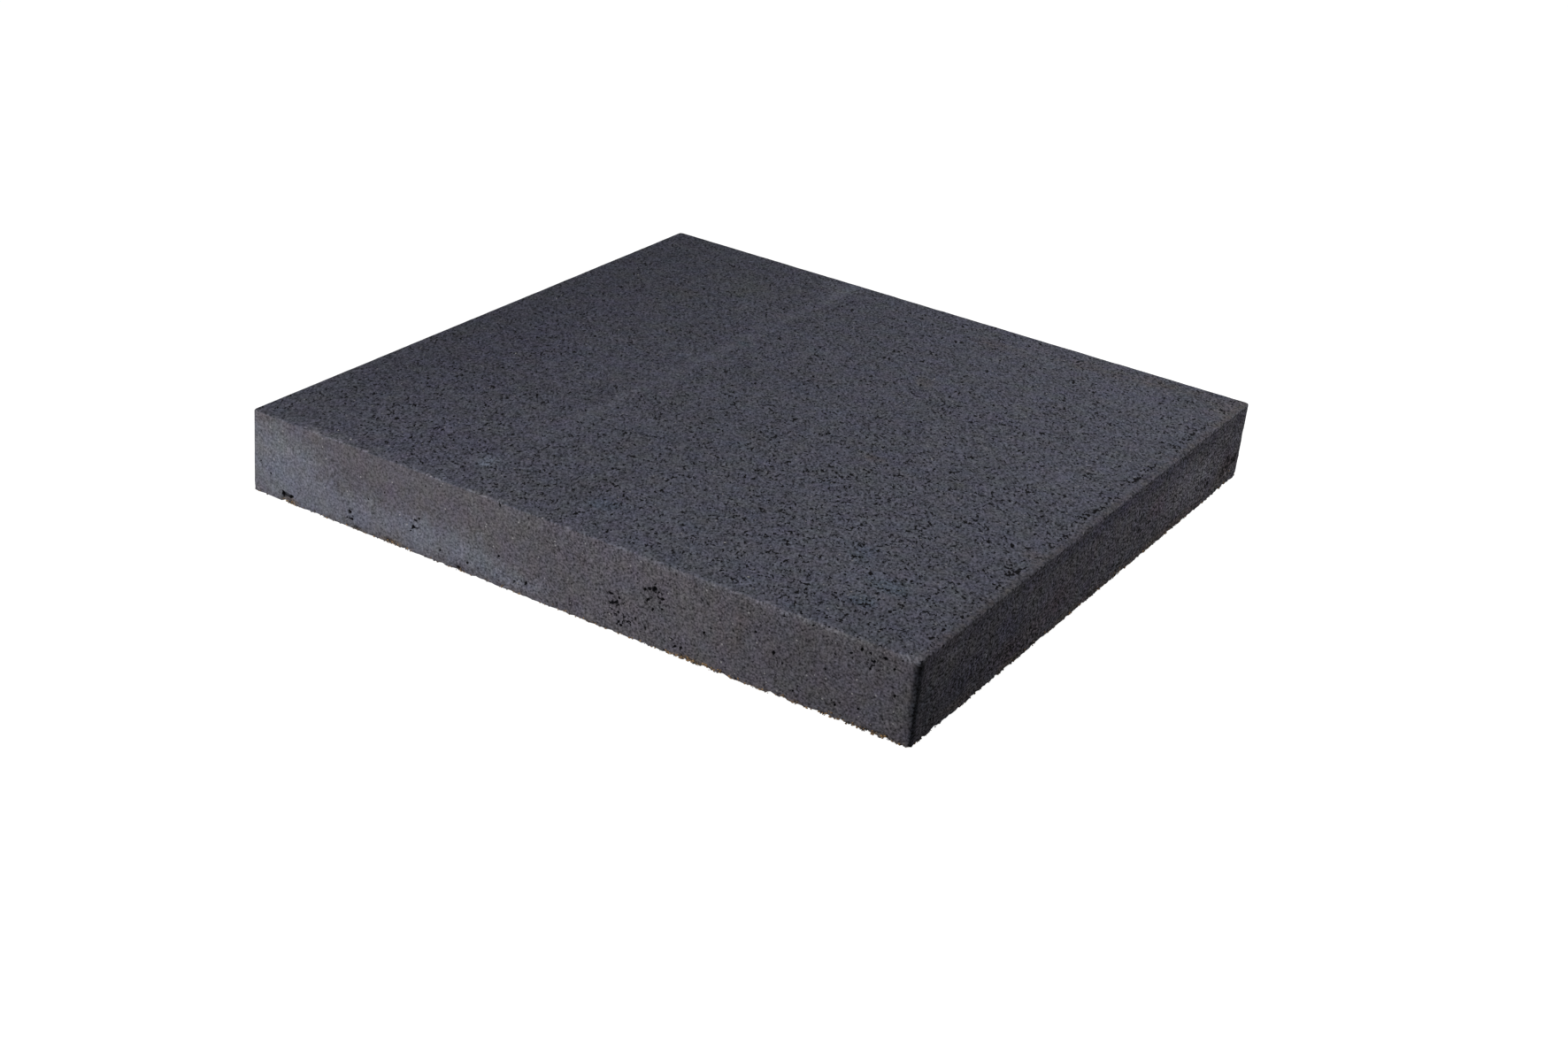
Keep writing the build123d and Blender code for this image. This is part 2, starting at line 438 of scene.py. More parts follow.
def paint_face(sheet):
    """Paint the walking face: soft spots, the drag mark, and borders that follow the arrises."""
    x, y = sheet.points[..., 0], sheet.points[..., 1]
    masks = sheet.masks
    for name, places in FACE_MARKS.items():
        masks[name] += spots(x, y, places)
    masks["walked"] += 1.0
    masks["rough"] += 1.22

    # Long drag mark of the press plate, almost at one x, from the back almost to the front
    strength = 0.6 + 0.3 * np.exp(-(((y - 60) / 50) ** 2)) + 0.2 * ease(y, 150, 270)
    strength += 0.12 * lattice_noise(sheet.points, 22, 11) - 0.4 * ease(-y, 170, 195)
    wander = DRAG_LEAN * y + 0.9 * lattice_noise(sheet.points, 40, 12)
    wander += 0.5 * lattice_noise(sheet.points, 12, 21)
    streak = np.clip(strength, 0, 1.2) * np.exp(-(((x - DRAG_X - wander) / DRAG_REACH) ** 4))
    masks["pale"] += 0.45 * streak
    masks["shade"] -= 0.6 * streak
    masks["porous"] -= 0.4 * streak
    masks["rough"] -= 0.35 * streak

    # Borders: a paste of its own inside the front arris, a smooth strip and an open line on the right
    front, right = HALF_SIDE + y, HALF_SIDE - x
    noise = lattice_noise(sheet.points, 18, 13)
    strip = np.exp(-(((front - 7.0 - 1.5 * noise) / 4.0) ** 2)) * ease(x, 60, 180)
    masks["shade"] += 0.1 * strip
    masks["pale"] += 0.4 * np.exp(-(((front - 16.0 - 1.5 * noise) / 4.0) ** 2)) * ease(x, 60, 180)
    masks["teal"] += 0.4 * strip
    smooth = np.exp(-((np.maximum(right - 3.0 - 1.5 * noise, 0) / 3.2) ** 2))
    masks["brown"] += 0.25 * smooth + 0.3 * np.exp(-((right / 16.0) ** 2))
    masks["chalk_and_highlight"] += 0.25 * smooth * ease(-y, 150, 290)
    masks["shade"] += 0.4 * smooth * ease(-y, -260, 0)
    open_line = np.exp(-(((right - 9.5 - 2.0 * noise) / 3.2) ** 2)) * (0.4 + 0.8 * noise)
    masks["porous"] += open_line + 0.83 + 0.16 * (x - y) / (2 * HALF_SIDE)
    masks["porous"] -= 0.9 * smooth
    worn = np.clip(lattice_noise(sheet.points, 16, 14) + 0.05, 0, 1) * np.exp(-((front / 5.0) ** 2))
    flakes = np.clip(lattice_noise(sheet.points, 4.5, 22) + 0.1, 0, 1) * np.exp(-((front / 4.0) ** 2))
    masks["chalk_and_highlight"] += 1.1 * worn + 1.2 * flakes * ease(-x, -150, 0)
    vertex = np.exp(-((front / 8.0) ** 2) - (right / 11.0) ** 2)
    masks["chalk_and_highlight"] += 1.2 * vertex


def paint_side(band):
    """Paint the four sides: soft spots on the two that are known, and chance patches on the others."""
    masks = band.masks
    for side, marks in SIDE_MARKS.items():
        for name, places in marks.items():
            masks[name] += (band.side == side) * spots(band.along, band.depth, places)
    other = (band.side == BACK) | (band.side == LEFT)
    patch = lattice_noise(band.points * (1, 1, 0.6), 55, 15)
    masks["pale"] += other * ease(patch, 0.15, 0.6) * 0.8
    masks["porous"] += other * ease(lattice_noise(band.points, 26, 16), 0.2, 0.7)
    masks["brown"] += other * ease(band.depth, 62, 69) * 0.7
    masks["porous"] += 0.05 + 0.55 * (band.side == RIGHT) + 0.15 * lattice_noise(band.points, 40, 17)
    masks["walked"] += 0.2 * (band.side == RIGHT)
    masks["rough"] += np.choose(band.side, [0.8 + 0.35 * ease(band.along, -150, 50), 2.25, 1.3, 1.3])

    # Painted shade down the corner between the front and the right side, tinted teal
    x, y = band.points[..., 0], band.points[..., 1]
    reach = 5.4 - 0.05 * band.depth
    strip = (1 - ease(HALF_SIDE - x, reach - 0.8, reach + 1.6)) * (1 - ease(HALF_SIDE + y, 1.0, 9.0))
    masks["shade"] += 2.3 * strip * ease(band.depth, 2.0, 6.0)
    masks["teal"] += 0.5 * strip


# Pits

def sink_pits(sheet, rows, columns, sizes, depths, rng):
    """Sink small pits into a grid.

    Each pit takes a grid point and its eight neighbours. The neighbours are drawn in to a ring of the
    pit's size, with a random stretch and turn, and the middle point is sunk by its depth.
    """
    points = sheet.points
    middle = points[rows, columns].copy()
    first, second = sheet.first[rows, columns], sheet.second[rows, columns]
    turn = rng.uniform(0, math.pi, len(rows))
    stretch = rng.uniform(0.7, 1.35, len(rows))
    for step_row, step_column in np.ndindex(3, 3):
        if (step_row, step_column) == (1, 1):
            continue
        angle = math.atan2(step_column - 1, step_row - 1) + rng.uniform(-0.2, 0.2, len(rows))
        reach = sizes * rng.uniform(0.8, 1.2, len(rows))
        long, short = np.cos(angle - turn) * stretch * reach, np.sin(angle - turn) / stretch * reach
        u, v = long * np.cos(turn) - short * np.sin(turn), long * np.sin(turn) + short * np.cos(turn)
        at = ((rows + step_row - 1) % points.shape[0], columns + step_column - 1)
        points[at] = middle + u[:, None] * first + v[:, None] * second
    points[rows, columns] = middle - depths[:, None] * sheet.normal[rows, columns]
    # The middle point is marked for painted shade in the pit
    sheet.masks["hollow_shade"][rows, columns] = 1.0


def scatter_pits(sheet, spacing, chance, rng, first_column=2, last_column=None):
    """Rows and columns of one grid point in each block of spacing by spacing, kept by its own chance."""
    height, width = sheet.points.shape[:2]
    last_column = last_column or width - 2
    rows, columns = np.meshgrid(np.arange(2, height - spacing, spacing),
                                np.arange(first_column, last_column - spacing + 1, spacing), indexing="ij")
    rows = rows.ravel() + rng.integers(0, spacing - 2, rows.size)
    columns = columns.ravel() + rng.integers(0, spacing - 2, columns.size)
    kept = rng.random(rows.size) < chance[rows, columns]
    return rows[kept], columns[kept]


def pit_walking_face(top, shape, rng):
    """Scatter pits over the walking face, more and larger where it is more porous."""
    porous = top.masks["porous"]
    rows, columns = scatter_pits(top, shape.pit_spacing, 0.3 + 0.6 * porous, rng)
    size = 0.9 * rng.lognormal(0.0, 0.3, len(rows)) * (0.85 + 0.4 * porous[rows, columns])
    size = np.clip(size, 0.5, 2.1)
    sink_pits(top, rows, columns, size, size * rng.uniform(0.6, 1.2, len(rows)), rng)


def pit_sides(band, shape, rng):
    """Sink the known pits of two sides at the nearest grid points, and a few chance ones elsewhere."""
    cells = band.points.shape[0] // 4
    known = np.array([(side, *pit) for side, pits in SIDE_PITS.items() for pit in pits], float)
    side, along, depth, size, sink = known.T
    t = along / (HALF_SIDE - shape.corner_radius / MM * (1 - math.pi / 4))
    rows = np.round((side + (t + 1) / 2) * cells).astype(int)
    columns = np.abs(band.depth[0][None, :] - depth[:, None]).argmin(1)
    taken = np.zeros(band.points.shape[:2], bool)
    for row_step, column_step in np.ndindex(7, 7):
        near = np.clip(columns + column_step - 3, 0, taken.shape[1] - 1)
        taken[(rows + row_step - 3) % len(taken), near] = True
    sink_pits(band, rows, columns, size, sink, rng)
    chance = np.where(taken, 0, 0.10 + 0.22 * band.masks["porous"])
    first = shape.crown_rows + shape.arris_rows + 2
    rows, columns = scatter_pits(band, 4, chance, rng, first, first + shape.side_rows - 3)
    size = np.clip(0.7 * rng.lognormal(0.0, 0.3, len(rows)), 0.4, 1.5)
    sink_pits(band, rows, columns, size, size * rng.uniform(0.6, 1.1, len(rows)), rng)


def dress_band(shape):
    """The whole band with its relief and paint, before pits."""
    band = side_band(shape.cells_per_side, shape)
    on_top = ease(shape.arris_radius / MM - band.depth, 0.0, shape.arris_radius / MM - 0.2)
    paint_side(band)
    face = Sheet(band.points, band.normal, band.first, band.second)
    paint_face(face)
    for name in MASKS:
        band.masks[name] = (1 - on_top) * band.masks[name] + on_top * face.masks[name]
    rim = press_rim(band)
    # Chalk on the press rim: its paler paste, and partly a painted highlight along the arris
    band.masks["chalk_and_highlight"] += rim * np.choose(band.side, [0.5, 0.1, 0.3, 0.3])
    sink = waves(band.points, shape.undulation / MM) * (1 - rim) + shape.face_fall / MM * on_top * (1 - rim)
    crumbled, lift = crumbling(band, shape)
    band.sink(sink + crumbled)
    band.points[..., 2] += lift
    return band


# One closed surface

def border(cells):
    """Grid indices of the border, walked as the outline is."""
    step, flat = np.arange(cells), np.zeros(cells, int)
    i = np.concatenate([step, flat + cells, cells - step, flat])
    j = np.concatenate([flat, step, flat + cells, cells - step])
    return i, j


def quads(index):
    """Corner numbers of the quads between neighbouring rows and columns of a grid of point numbers."""
    return np.stack([index[:-1, :-1], index[1:, :-1], index[1:, 1:], index[:-1, 1:]], -1).reshape(-1, 4)


def numbered(sheet, first):
    """Grid of a sheet's point numbers, counted on from first."""
    grid = sheet.points.shape[:2]
    return first + np.arange(math.prod(grid)).reshape(grid)


def slab_surface(shape):
    """Points, polygons and masks of the slab's closed surface."""
    rng = np.random.default_rng(shape.seed)
    cells, margin = shape.cells_per_side, shape.press_margin / MM
    top = walking_face(cells, HALF_SIDE - margin, shape.corner_radius / MM - margin)
    paint_face(top)
    top.sink(shape.face_fall / MM + waves(top.points, shape.undulation / MM))
    pit_walking_face(top, shape, rng)
    band = dress_band(shape)
    pit_sides(band, shape, rng)
    bed = bed_face(cells // 4, HALF_SIDE - shape.bed_margin / MM - shape.bed_strip / MM)
    bed.sink(waves(bed.points, shape.undulation / MM))

    # The band's first ring is the walking face's border
    top_index = numbered(top, 0)
    band_index = numbered(band, top_index.size)
    bed_index = numbered(bed, top_index.size + band_index.size)
    ring = np.concatenate([top_index[border(cells)][:, None], band_index], 1)
    ring = np.concatenate([ring, ring[:1]], 0)
    four = np.concatenate([quads(top_index), quads(ring)[:, ::-1], quads(bed_index)[:, ::-1]])

    # Strip under the slab, where five ring points meet two points of the coarser bed face
    inner = bed_index[border(cells // 4)]
    inner = np.append(inner, inner[0])
    start = np.arange(cells)
    outer = [ring[4 * start + k, -1] for k in range(5)]
    strip = np.stack([inner[start], inner[start + 1], *outer[::-1]], -1)

    sheets = (top, band, bed)
    points = np.concatenate([sheet.points.reshape(-1, 3) for sheet in sheets])
    sizes = np.concatenate([np.full(len(four), 4), np.full(len(strip), strip.shape[1])])
    corners = np.concatenate([four.ravel(), strip.ravel()])
    masks = {name: np.concatenate([sheet.masks[name].ravel() for sheet in sheets]) for name in MASKS}
    return points, sizes, corners, masks


def mesh_object(name, points, sizes, corners, material, masks=()):
    """A mesh piece from whole arrays: points in millimetres, polygon sizes and their corner numbers."""
    mesh = bpy.data.meshes.new(name)
    mesh.vertices.add(len(points))
    mesh.vertices.foreach_set("co", (points * MM).astype(np.float32).ravel())
    mesh.loops.add(len(corners))
    mesh.loops.foreach_set("vertex_index", corners.astype(np.int32))
    mesh.polygons.add(len(sizes))
    starts = np.concatenate([[0], np.cumsum(sizes)[:-1]])
    mesh.polygons.foreach_set("loop_start", starts.astype(np.int32))
    mesh.update(calc_edges=True)
    for title, values in dict(masks).items():
        layer = mesh.attributes.new(title, "FLOAT", "POINT")
        layer.data.foreach_set("value", np.asarray(values, np.float32))
    mesh.materials.append(material)
    piece = bpy.data.objects.new(name, mesh)
    bpy.context.scene.collection.objects.link(piece)
    return piece


# Loose grit and single grains

def squashed(points, centres, low, high):
    """Grains kept between two corners of a box.

    On each side of its centre and along each axis, a grain's reach is scaled by min(1, room / reach),
    so an outer half is flattened and no two of its points meet.
    """
    offset = points - centres[:, None]
    above = np.minimum(1.0, (high - centres) / offset.max(1))
    below = np.minimum(1.0, (low - centres) / offset.min(1))
    return centres[:, None] + offset * np.where(offset > 0, above[:, None], below[:, None])


def pebbles(centres, sizes, low, high, rng):
    """Closed grains around the centres, as points and corner numbers of their quads and triangles.

    A grain is a ball of 3 rings of 6 points and 2 end points, at latitudes of 45 degrees and 0. Each
    point's distance is changed by up to a fifth. The ball is then scaled by chance along its three axes,
    smallest along the third, and turned by a chance quaternion. Grains stay between the corners low and
    high of a box.
    """
    spokes = 6
    latitude = np.repeat([math.pi / 4, 0.0, -math.pi / 4], spokes)
    longitude = np.tile(np.arange(spokes) * 2 * math.pi / spokes, 3)
    ball = np.stack([np.cos(latitude) * np.cos(longitude), np.cos(latitude) * np.sin(longitude),
                     np.sin(latitude)], -1)
    ball = np.concatenate([[[0, 0, 1.0]], ball, [[0, 0, -1.0]]])
    shaped = ball * rng.uniform(0.8, 1.2, (len(centres), len(ball), 1))
    shaped = shaped * np.stack([rng.uniform(0.8, 1.2, len(centres)), rng.uniform(0.7, 1.0, len(centres)),
                                rng.uniform(0.5, 0.9, len(centres))], -1)[:, None]
    q = rng.normal(size=(len(centres), 4))
    w, x, y, z = (q / np.linalg.norm(q, axis=1, keepdims=True)).T
    turn = np.stack([1 - 2 * (y * y + z * z), 2 * (x * y - z * w), 2 * (x * z + y * w),
                     2 * (x * y + z * w), 1 - 2 * (x * x + z * z), 2 * (y * z - x * w),
                     2 * (x * z - y * w), 2 * (y * z + x * w), 1 - 2 * (x * x + y * y)], -1)
    turn = turn.reshape(-1, 3, 3)
    points = np.einsum("gij,gpj->gpi", turn, shaped) * sizes[:, None, None] + centres[:, None]
    points = squashed(points, centres, low, high)

    step, last = np.arange(spokes), len(ball) - 1
    after = (step + 1) % spokes
    caps = np.concatenate([np.stack([0 * step, 1 + step, 1 + after], -1),
                           np.stack([0 * step + last, last - spokes + after, last - spokes + step], -1)])
    belts = np.concatenate([np.stack([k + step, k + spokes + step, k + spokes + after, k + after], -1)
                            for k in (1, 1 + spokes)])
    first = np.arange(len(centres))[:, None, None] * len(ball)
    corners = np.concatenate([(caps + first).ravel(), (belts + first).ravel()])
    counts = np.concatenate([np.full(len(caps) * len(centres), 3), np.full(len(belts) * len(centres), 4)])
    return points.reshape(-1, 3), counts, corners


def grit_surface(shape, grit):
    """Loose grit along the crumbled bed edge, and the single white grains of the faces.

    Grit lies on points of the edge band, chosen by chance with the weight
    exp(-(height / 2.2 mm)^2) * (0.2 + brown^2), and on the two known sides also where brown and porous
    paint meet. Its tone is from 0 to 1, and 2 for a white grain.
    """
    rng = np.random.default_rng(grit.seed)
    band = dress_band(shape)
    brown, porous = np.clip(band.masks["brown"], 0, 2.2), np.clip(band.masks["porous"] - 0.9, 0, 1)
    height = THICKNESS - band.depth
    known = (band.side == FRONT) | (band.side == RIGHT)
    weight = np.exp(-((height / 2.2) ** 2)) * (0.2 + brown**2) + 0.12 * known * brown * porous
    weight = (weight * (band.inset < 2.5)).ravel()
    chosen = rng.choice(weight.size, grit.count, p=weight / weight.sum())
    points, normal = band.points.reshape(-1, 3)[chosen], band.normal.reshape(-1, 3)[chosen]
    sizes = np.clip(grit.size / MM * rng.lognormal(0.0, 0.35, grit.count), 0.35, 1.6)
    points = points + rng.uniform(-1.2, 1.2, points.shape) - normal * sizes[:, None] * 0.35
    tone = rng.uniform(0, 1, grit.count)

    x, y, size = np.array(FACE_GRAINS, float).T
    flat = np.stack([x, y, 0 * x + THICKNESS], -1)
    flat[:, 2] -= shape.face_fall / MM + waves(flat, shape.undulation / MM) + 0.3 * size
    along, depth, width = np.array(SIDE_GRAINS, float).T
    upright = np.stack([along, 0.35 * width + 0.2 - HALF_SIDE, THICKNESS - depth], -1)
    centres = np.concatenate([points, flat, upright])
    sizes = np.concatenate([sizes, size, width])
    tone = np.concatenate([tone, np.full(len(flat) + len(upright), 2.0)])
    low, high = np.array(CAD_BOX) / MM + [[BOX_GAP], [-BOX_GAP]]
    centres = np.clip(centres, low + 0.25 * sizes[:, None], high - 0.25 * sizes[:, None])
    points, counts, corners = pebbles(centres, sizes, low, high, rng)
    return points, counts, corners, {"tone": np.repeat(tone, len(points) // len(tone))}


# Shader building

class Wire:
    """A node's output. Arithmetic on it adds Math nodes."""

    def __init__(self, recipe, socket):
        self.recipe = recipe
        self.socket = socket

    def math(self, operation, *others):
        return self.recipe.add("Math", {"operation": operation}, dict(enumerate([self, *others])))

    def __add__(self, other):
        return self.math("ADD", other)

    def __mul__(self, other):
        return self.math("MULTIPLY", other)

    __rmul__ = __mul__

    def __sub__(self, other):
        return self.math("SUBTRACT", other)

    def __rsub__(self, other):
        return self.recipe.add("Math", {"operation": "SUBTRACT"}, {0: other, 1: self})

    def most(self, other):
        return self.math("MAXIMUM", other)

    def ease(self, low, high):
        """0 at low, 1 at high, and smooth between them."""
        settings = {"interpolation_type": "SMOOTHSTEP"}
        return self.recipe.add("MapRange", settings, {"Value": self, "From Min": low, "From Max": high})


class Recipe:
    """The node tree of a material or world, with one method that adds a node."""

    def __init__(self, owner):
        owner.use_nodes = True
        self.tree = owner.node_tree
        self.tree.nodes.clear()

    def add(self, kind, settings=(), inputs=(), output=0):
        """A node of that kind, with its settings made first, then its inputs given values or wires."""
        node = self.tree.nodes.new("ShaderNode" + kind)
        for name, value in dict(settings).items():
            setattr(node, name, value)
        for name, value in dict(inputs).items():
            if isinstance(value, Wire):
                self.tree.links.new(value.socket, node.inputs[name])
            else:
                node.inputs[name].default_value = value
        return Wire(self, node.outputs[output]) if node.outputs else node

    def vector(self, operation, *inputs, scale=None, output=0):
        sockets = dict(enumerate(inputs)) | ({} if scale is None else {"Scale": scale})
        return self.add("VectorMath", {"operation": operation}, sockets, output)

    def noise(self, place, size, detail=2.0, roughness=0.5, output="Fac"):
        """Cloudy noise whose largest features are about as wide as size, in millimetres."""
        return self.add("TexNoise", {}, {"Vector": place, "Scale": 1 / size, "Detail": detail,
                                         "Roughness": roughness}, output)

    def cells(self, place, size, output="Distance", feature="F1"):
        """Cells about as wide as size, in millimetres: distance to the next centre or rim, or a colour."""
        return self.add("TexVoronoi", {"feature": feature}, {"Vector": place, "Scale": 1 / size}, output)

    def mask(self, name):
        return self.add("Attribute", {"attribute_name": name}, output="Fac")

    def mix(self, factor, first, second):
        """Colour first where the factor is 0, and second where it is 1."""
        return self.add("Mix", {"data_type": "RGBA"}, {0: factor, 6: first, 7: second}, 2)


def opaque(colour):
    return (*colour, 1.0)


def concrete_material(finish):
    """Pressed concrete: rounded grains under grey cement paste, open pores, lime bloom and stains. Pores
    and pits are filled with painted shade, and the arrises, pore rims and white grains carry painted
    highlights.
    """
    material = bpy.data.materials.new("pressed_concrete")
    recipe = Recipe(material)
    place = recipe.vector("SCALE", recipe.add("TexCoord", output="Object"), scale=1 / MM)
    mask = {name: recipe.mask(name) for name in MASKS}
    walked, hollow_shade, porous, rough = (mask[name] for name in ("walked", "hollow_shade", "porous", "rough"))

    # Pores where the paste is lean: curved gaps along the rims of grains, and round seats of lost ones.
    # They are sunk in the bump and filled with painted shade.
    drawn = recipe.add("Mapping", {"vector_type": "TEXTURE"}, {
        "Vector": place, "Rotation": (0.0, 0.0, finish.draw_angle), "Scale": (1.0, finish.draw, 1.0)})
    wobble = recipe.noise(drawn, 3.0, 2.0, 0.6, "Color")
    bent = recipe.vector("MULTIPLY_ADD", wobble, (finish.wobble,) * 3, drawn)
    rim = recipe.cells(bent, finish.grain_size / MM, feature="DISTANCE_TO_EDGE")
    cluster = recipe.noise(place, 9.0, 2.0, 0.6)
    grain = recipe.noise(drawn, 2.5, 3.0, 0.6)
    sand = recipe.noise(drawn, 1.6, 2.0)
    seat = recipe.cells(place, finish.seat_spacing / MM)
    chance = recipe.add("SeparateXYZ", {}, {0: recipe.cells(place, finish.seat_spacing / MM, "Color")})
    lean = walked * 0.07 + porous * 0.32 + (cluster - 0.5) * 1.2 + (0.5 - grain) * 2.2 - rim * 0.8 - 0.46
    lost = chance * 1.1 + porous * 0.25 + (cluster - 0.5) * 0.5 + (0.5 - grain) * 0.3 - 1.04
    pores = lean.ease(0.06, 0.16).most((lost - seat).ease(0.0, 0.08))
    # Painted highlight: a lighter ring round the pores of the walking face, where the grain rims catch the
    # light
    pore_rim_highlight = lean.ease(-0.45, -0.05) * walked
    pores = pores.most((hollow_shade + (grain - 0.5) * 0.6).ease(0.12, 0.42))

    # Tone of the paste: fine grain, grain by grain, broad clouds, and the painted highlight round the pores
    cloud = recipe.noise(place, 70.0, 2.0)
    fine = (grain - 0.5) * 1.15 + (sand - 0.5) * 3.0 + (cluster - 0.5) * 0.15
    tone = fine * rough + pore_rim_highlight * 0.15 + (cloud - 0.5) * 0.25 + 1.0
    tone = tone * (1 - mask["shade"] * 0.28)

    # Colour of the paste: tints laid over each other, each with a ragged border
    ragged = (grain - 0.5) * 0.5 + (cluster - 0.5) * 0.8
    body = recipe.mix(walked, opaque(finish.skin_colour), opaque(finish.paste_colour))
    for name, colour, share in (("violet", finish.violet_colour, 0.8), ("pale", finish.lime_colour, 0.8),
                                ("olive", finish.olive_colour, 0.8), ("teal", finish.teal_colour, 0.6),
                                ("rose", finish.rose_colour, 0.8), ("brown", finish.brown_colour, 0.7),
                                ("chalk_and_highlight", finish.chalk_and_highlight_colour, 0.8)):
        body = recipe.mix((mask[name] + ragged).ease(0.1, 1.1) * share, body, opaque(colour))
    hues = recipe.noise(place, 16.0, 2.0, 0.5, "Color")
    tint = recipe.vector("MULTIPLY_ADD", hues, (0.15, 0.15, 0.32), (0.925, 0.925, 0.84))
    body = recipe.vector("SCALE", recipe.vector("MULTIPLY", body, tint), scale=tone)
    # White specks: single white grains, partly painted glints on grain tops
    speck_and_glint = recipe.cells(place, finish.speck_spacing / MM).ease(0.085, 0.05)
    body = recipe.mix(speck_and_glint, body, opaque(finish.speck_and_glint_colour))
    # Pores and pits take the near-black pore colour: painted shade inside them
    colour = recipe.mix(pores, body, opaque(finish.pore_shade_colour))

    height = (grain + sand) * rough * (finish.grain_height / MM) - pores * (finish.pore_depth / MM)
    bump = recipe.add("Bump", {}, {"Strength": 1.0, "Distance": MM, "Height": height})
    surface = recipe.add("BsdfPrincipled", {}, {
        "Base Color": colour, "Roughness": 0.92, "Specular IOR Level": 0.04, "Normal": bump})
    recipe.add("OutputMaterial", {}, {"Surface": surface})
    return material


def grit_material(grit):
    """Grains of sand and stone, from dark to ochre by their own tone, and white where the tone is 2."""
    material = bpy.data.materials.new("loose_grit")
    recipe = Recipe(material)
    tone = recipe.mask("tone")
    colour = recipe.mix(tone.ease(0.1, 0.8), opaque(grit.dark_colour), opaque(grit.ochre_colour))
    colour = recipe.mix(tone.ease(1.4, 1.6), colour, opaque(grit.white_colour))
    surface = recipe.add("BsdfPrincipled", {}, {
        "Base Color": colour, "Roughness": 0.8, "Specular IOR Level": 0.1})
    recipe.add("OutputMaterial", {}, {"Surface": surface})
    return material


def background_rays(recipe):
    """1 for the rays that show the background: straight from the camera, mirrored, or through glass."""
    node = recipe.add("LightPath").socket.node
    camera, glossy, through = (Wire(recipe, node.outputs[f"Is {kind} Ray"])
                               for kind in ("Camera", "Glossy", "Transmission"))
    return camera.most(glossy).most(through)


def floor_material(studio):
    """Pale floor: white to the camera except in the object's shadow, and a quiet grey to the object.

    It glows more the farther it is from the slab, where the lamps no longer reach it.
    """
    material = bpy.data.materials.new("pale_floor")
    recipe = Recipe(material)
    grey = recipe.add("BsdfDiffuse", {}, {"Color": opaque(studio.floor_colour)})
    lit = recipe.add("BsdfDiffuse", {}, {"Color": opaque([studio.floor_shadow] * 3)})
    far = recipe.vector("DISTANCE", recipe.add("TexCoord", output="Object"), (0.0, 0.0, 0.0), output=1)
    lamplit = 1.0 - far.ease(0.3, 0.6)
    glow = recipe.add("Emission", {}, {"Strength": 1.0 - 0.3 * studio.floor_shadow * lamplit})
    white = recipe.add("AddShader", {}, {0: lit, 1: glow})
    shown = recipe.add("MixShader", {}, {0: background_rays(recipe), 1: grey, 2: white})
    recipe.add("OutputMaterial", {}, {"Surface": shown})
    return material


# Sizes and colours that a user would change

def length_field(name, description, size):
    """A length of the panel, with its size given in millimetres."""
    return FloatProperty(name=name, description=description, default=size * MM, unit="LENGTH")


def colour_field(name, description, colour):
    return FloatVectorProperty(name=name, description=description, default=colour, subtype="COLOR")


def number_field(name, description, number):
    return FloatProperty(name=name, description=description, default=number)


def count_field(name, description, count):
    return IntProperty(name=name, description=description, default=count)


class SlabShape(bpy.types.PropertyGroup):
    corner_radius: length_field("Corner radius", "Rounding of the upright corners", 3.5)
    arris_radius: length_field("Arris radius", "Rounding around the walking face", 1.2)
    bed_radius: length_field("Bed edge radius", "Rounding around the bed face", 1.0)
    press_margin: length_field(
        "Press margin", "Width of the border that the arris rows take from the walking face", 6.0)
    bed_margin: length_field("Bed margin", "Inset of the last row under the slab", 4.0)
    bed_strip: length_field(
        "Bed strip", "Width of the strip between the last row and the bed face's grid", 5.0)
    face_fall: length_field("Rim height", "How far the rim stands above the walking face", 0.35)
    undulation: length_field("Waves", "Depth of the gentle waves in every face", 0.3)
    crumble_depth: length_field("Crumble depth", "Depth of the crumbled bed edge", 1.7)
    crumble_lift: length_field("Crumble lift", "How far the bed edge is eaten upward", 1.1)
    row_bias: number_field("Row bias", "How much closer the side's rows are near its edges", 0.35)
    cells_per_side: count_field("Cells per side", "Grid cells along each side, a multiple of 4", 228)
    crown_rows: count_field("Crown rows", "Rows between the face and the arris", 2)
    arris_rows: count_field("Arris rows", "Steps around the arris", 5)
    side_rows: count_field("Side rows", "Steps down each side", 33)
    bed_rows: count_field("Bed edge rows", "Steps around the bed edge", 3)
    pit_spacing: count_field("Pit spacing", "Grid cells between pits on the face", 4)
    seed: count_field("Seed", "Start of the random numbers", 7)


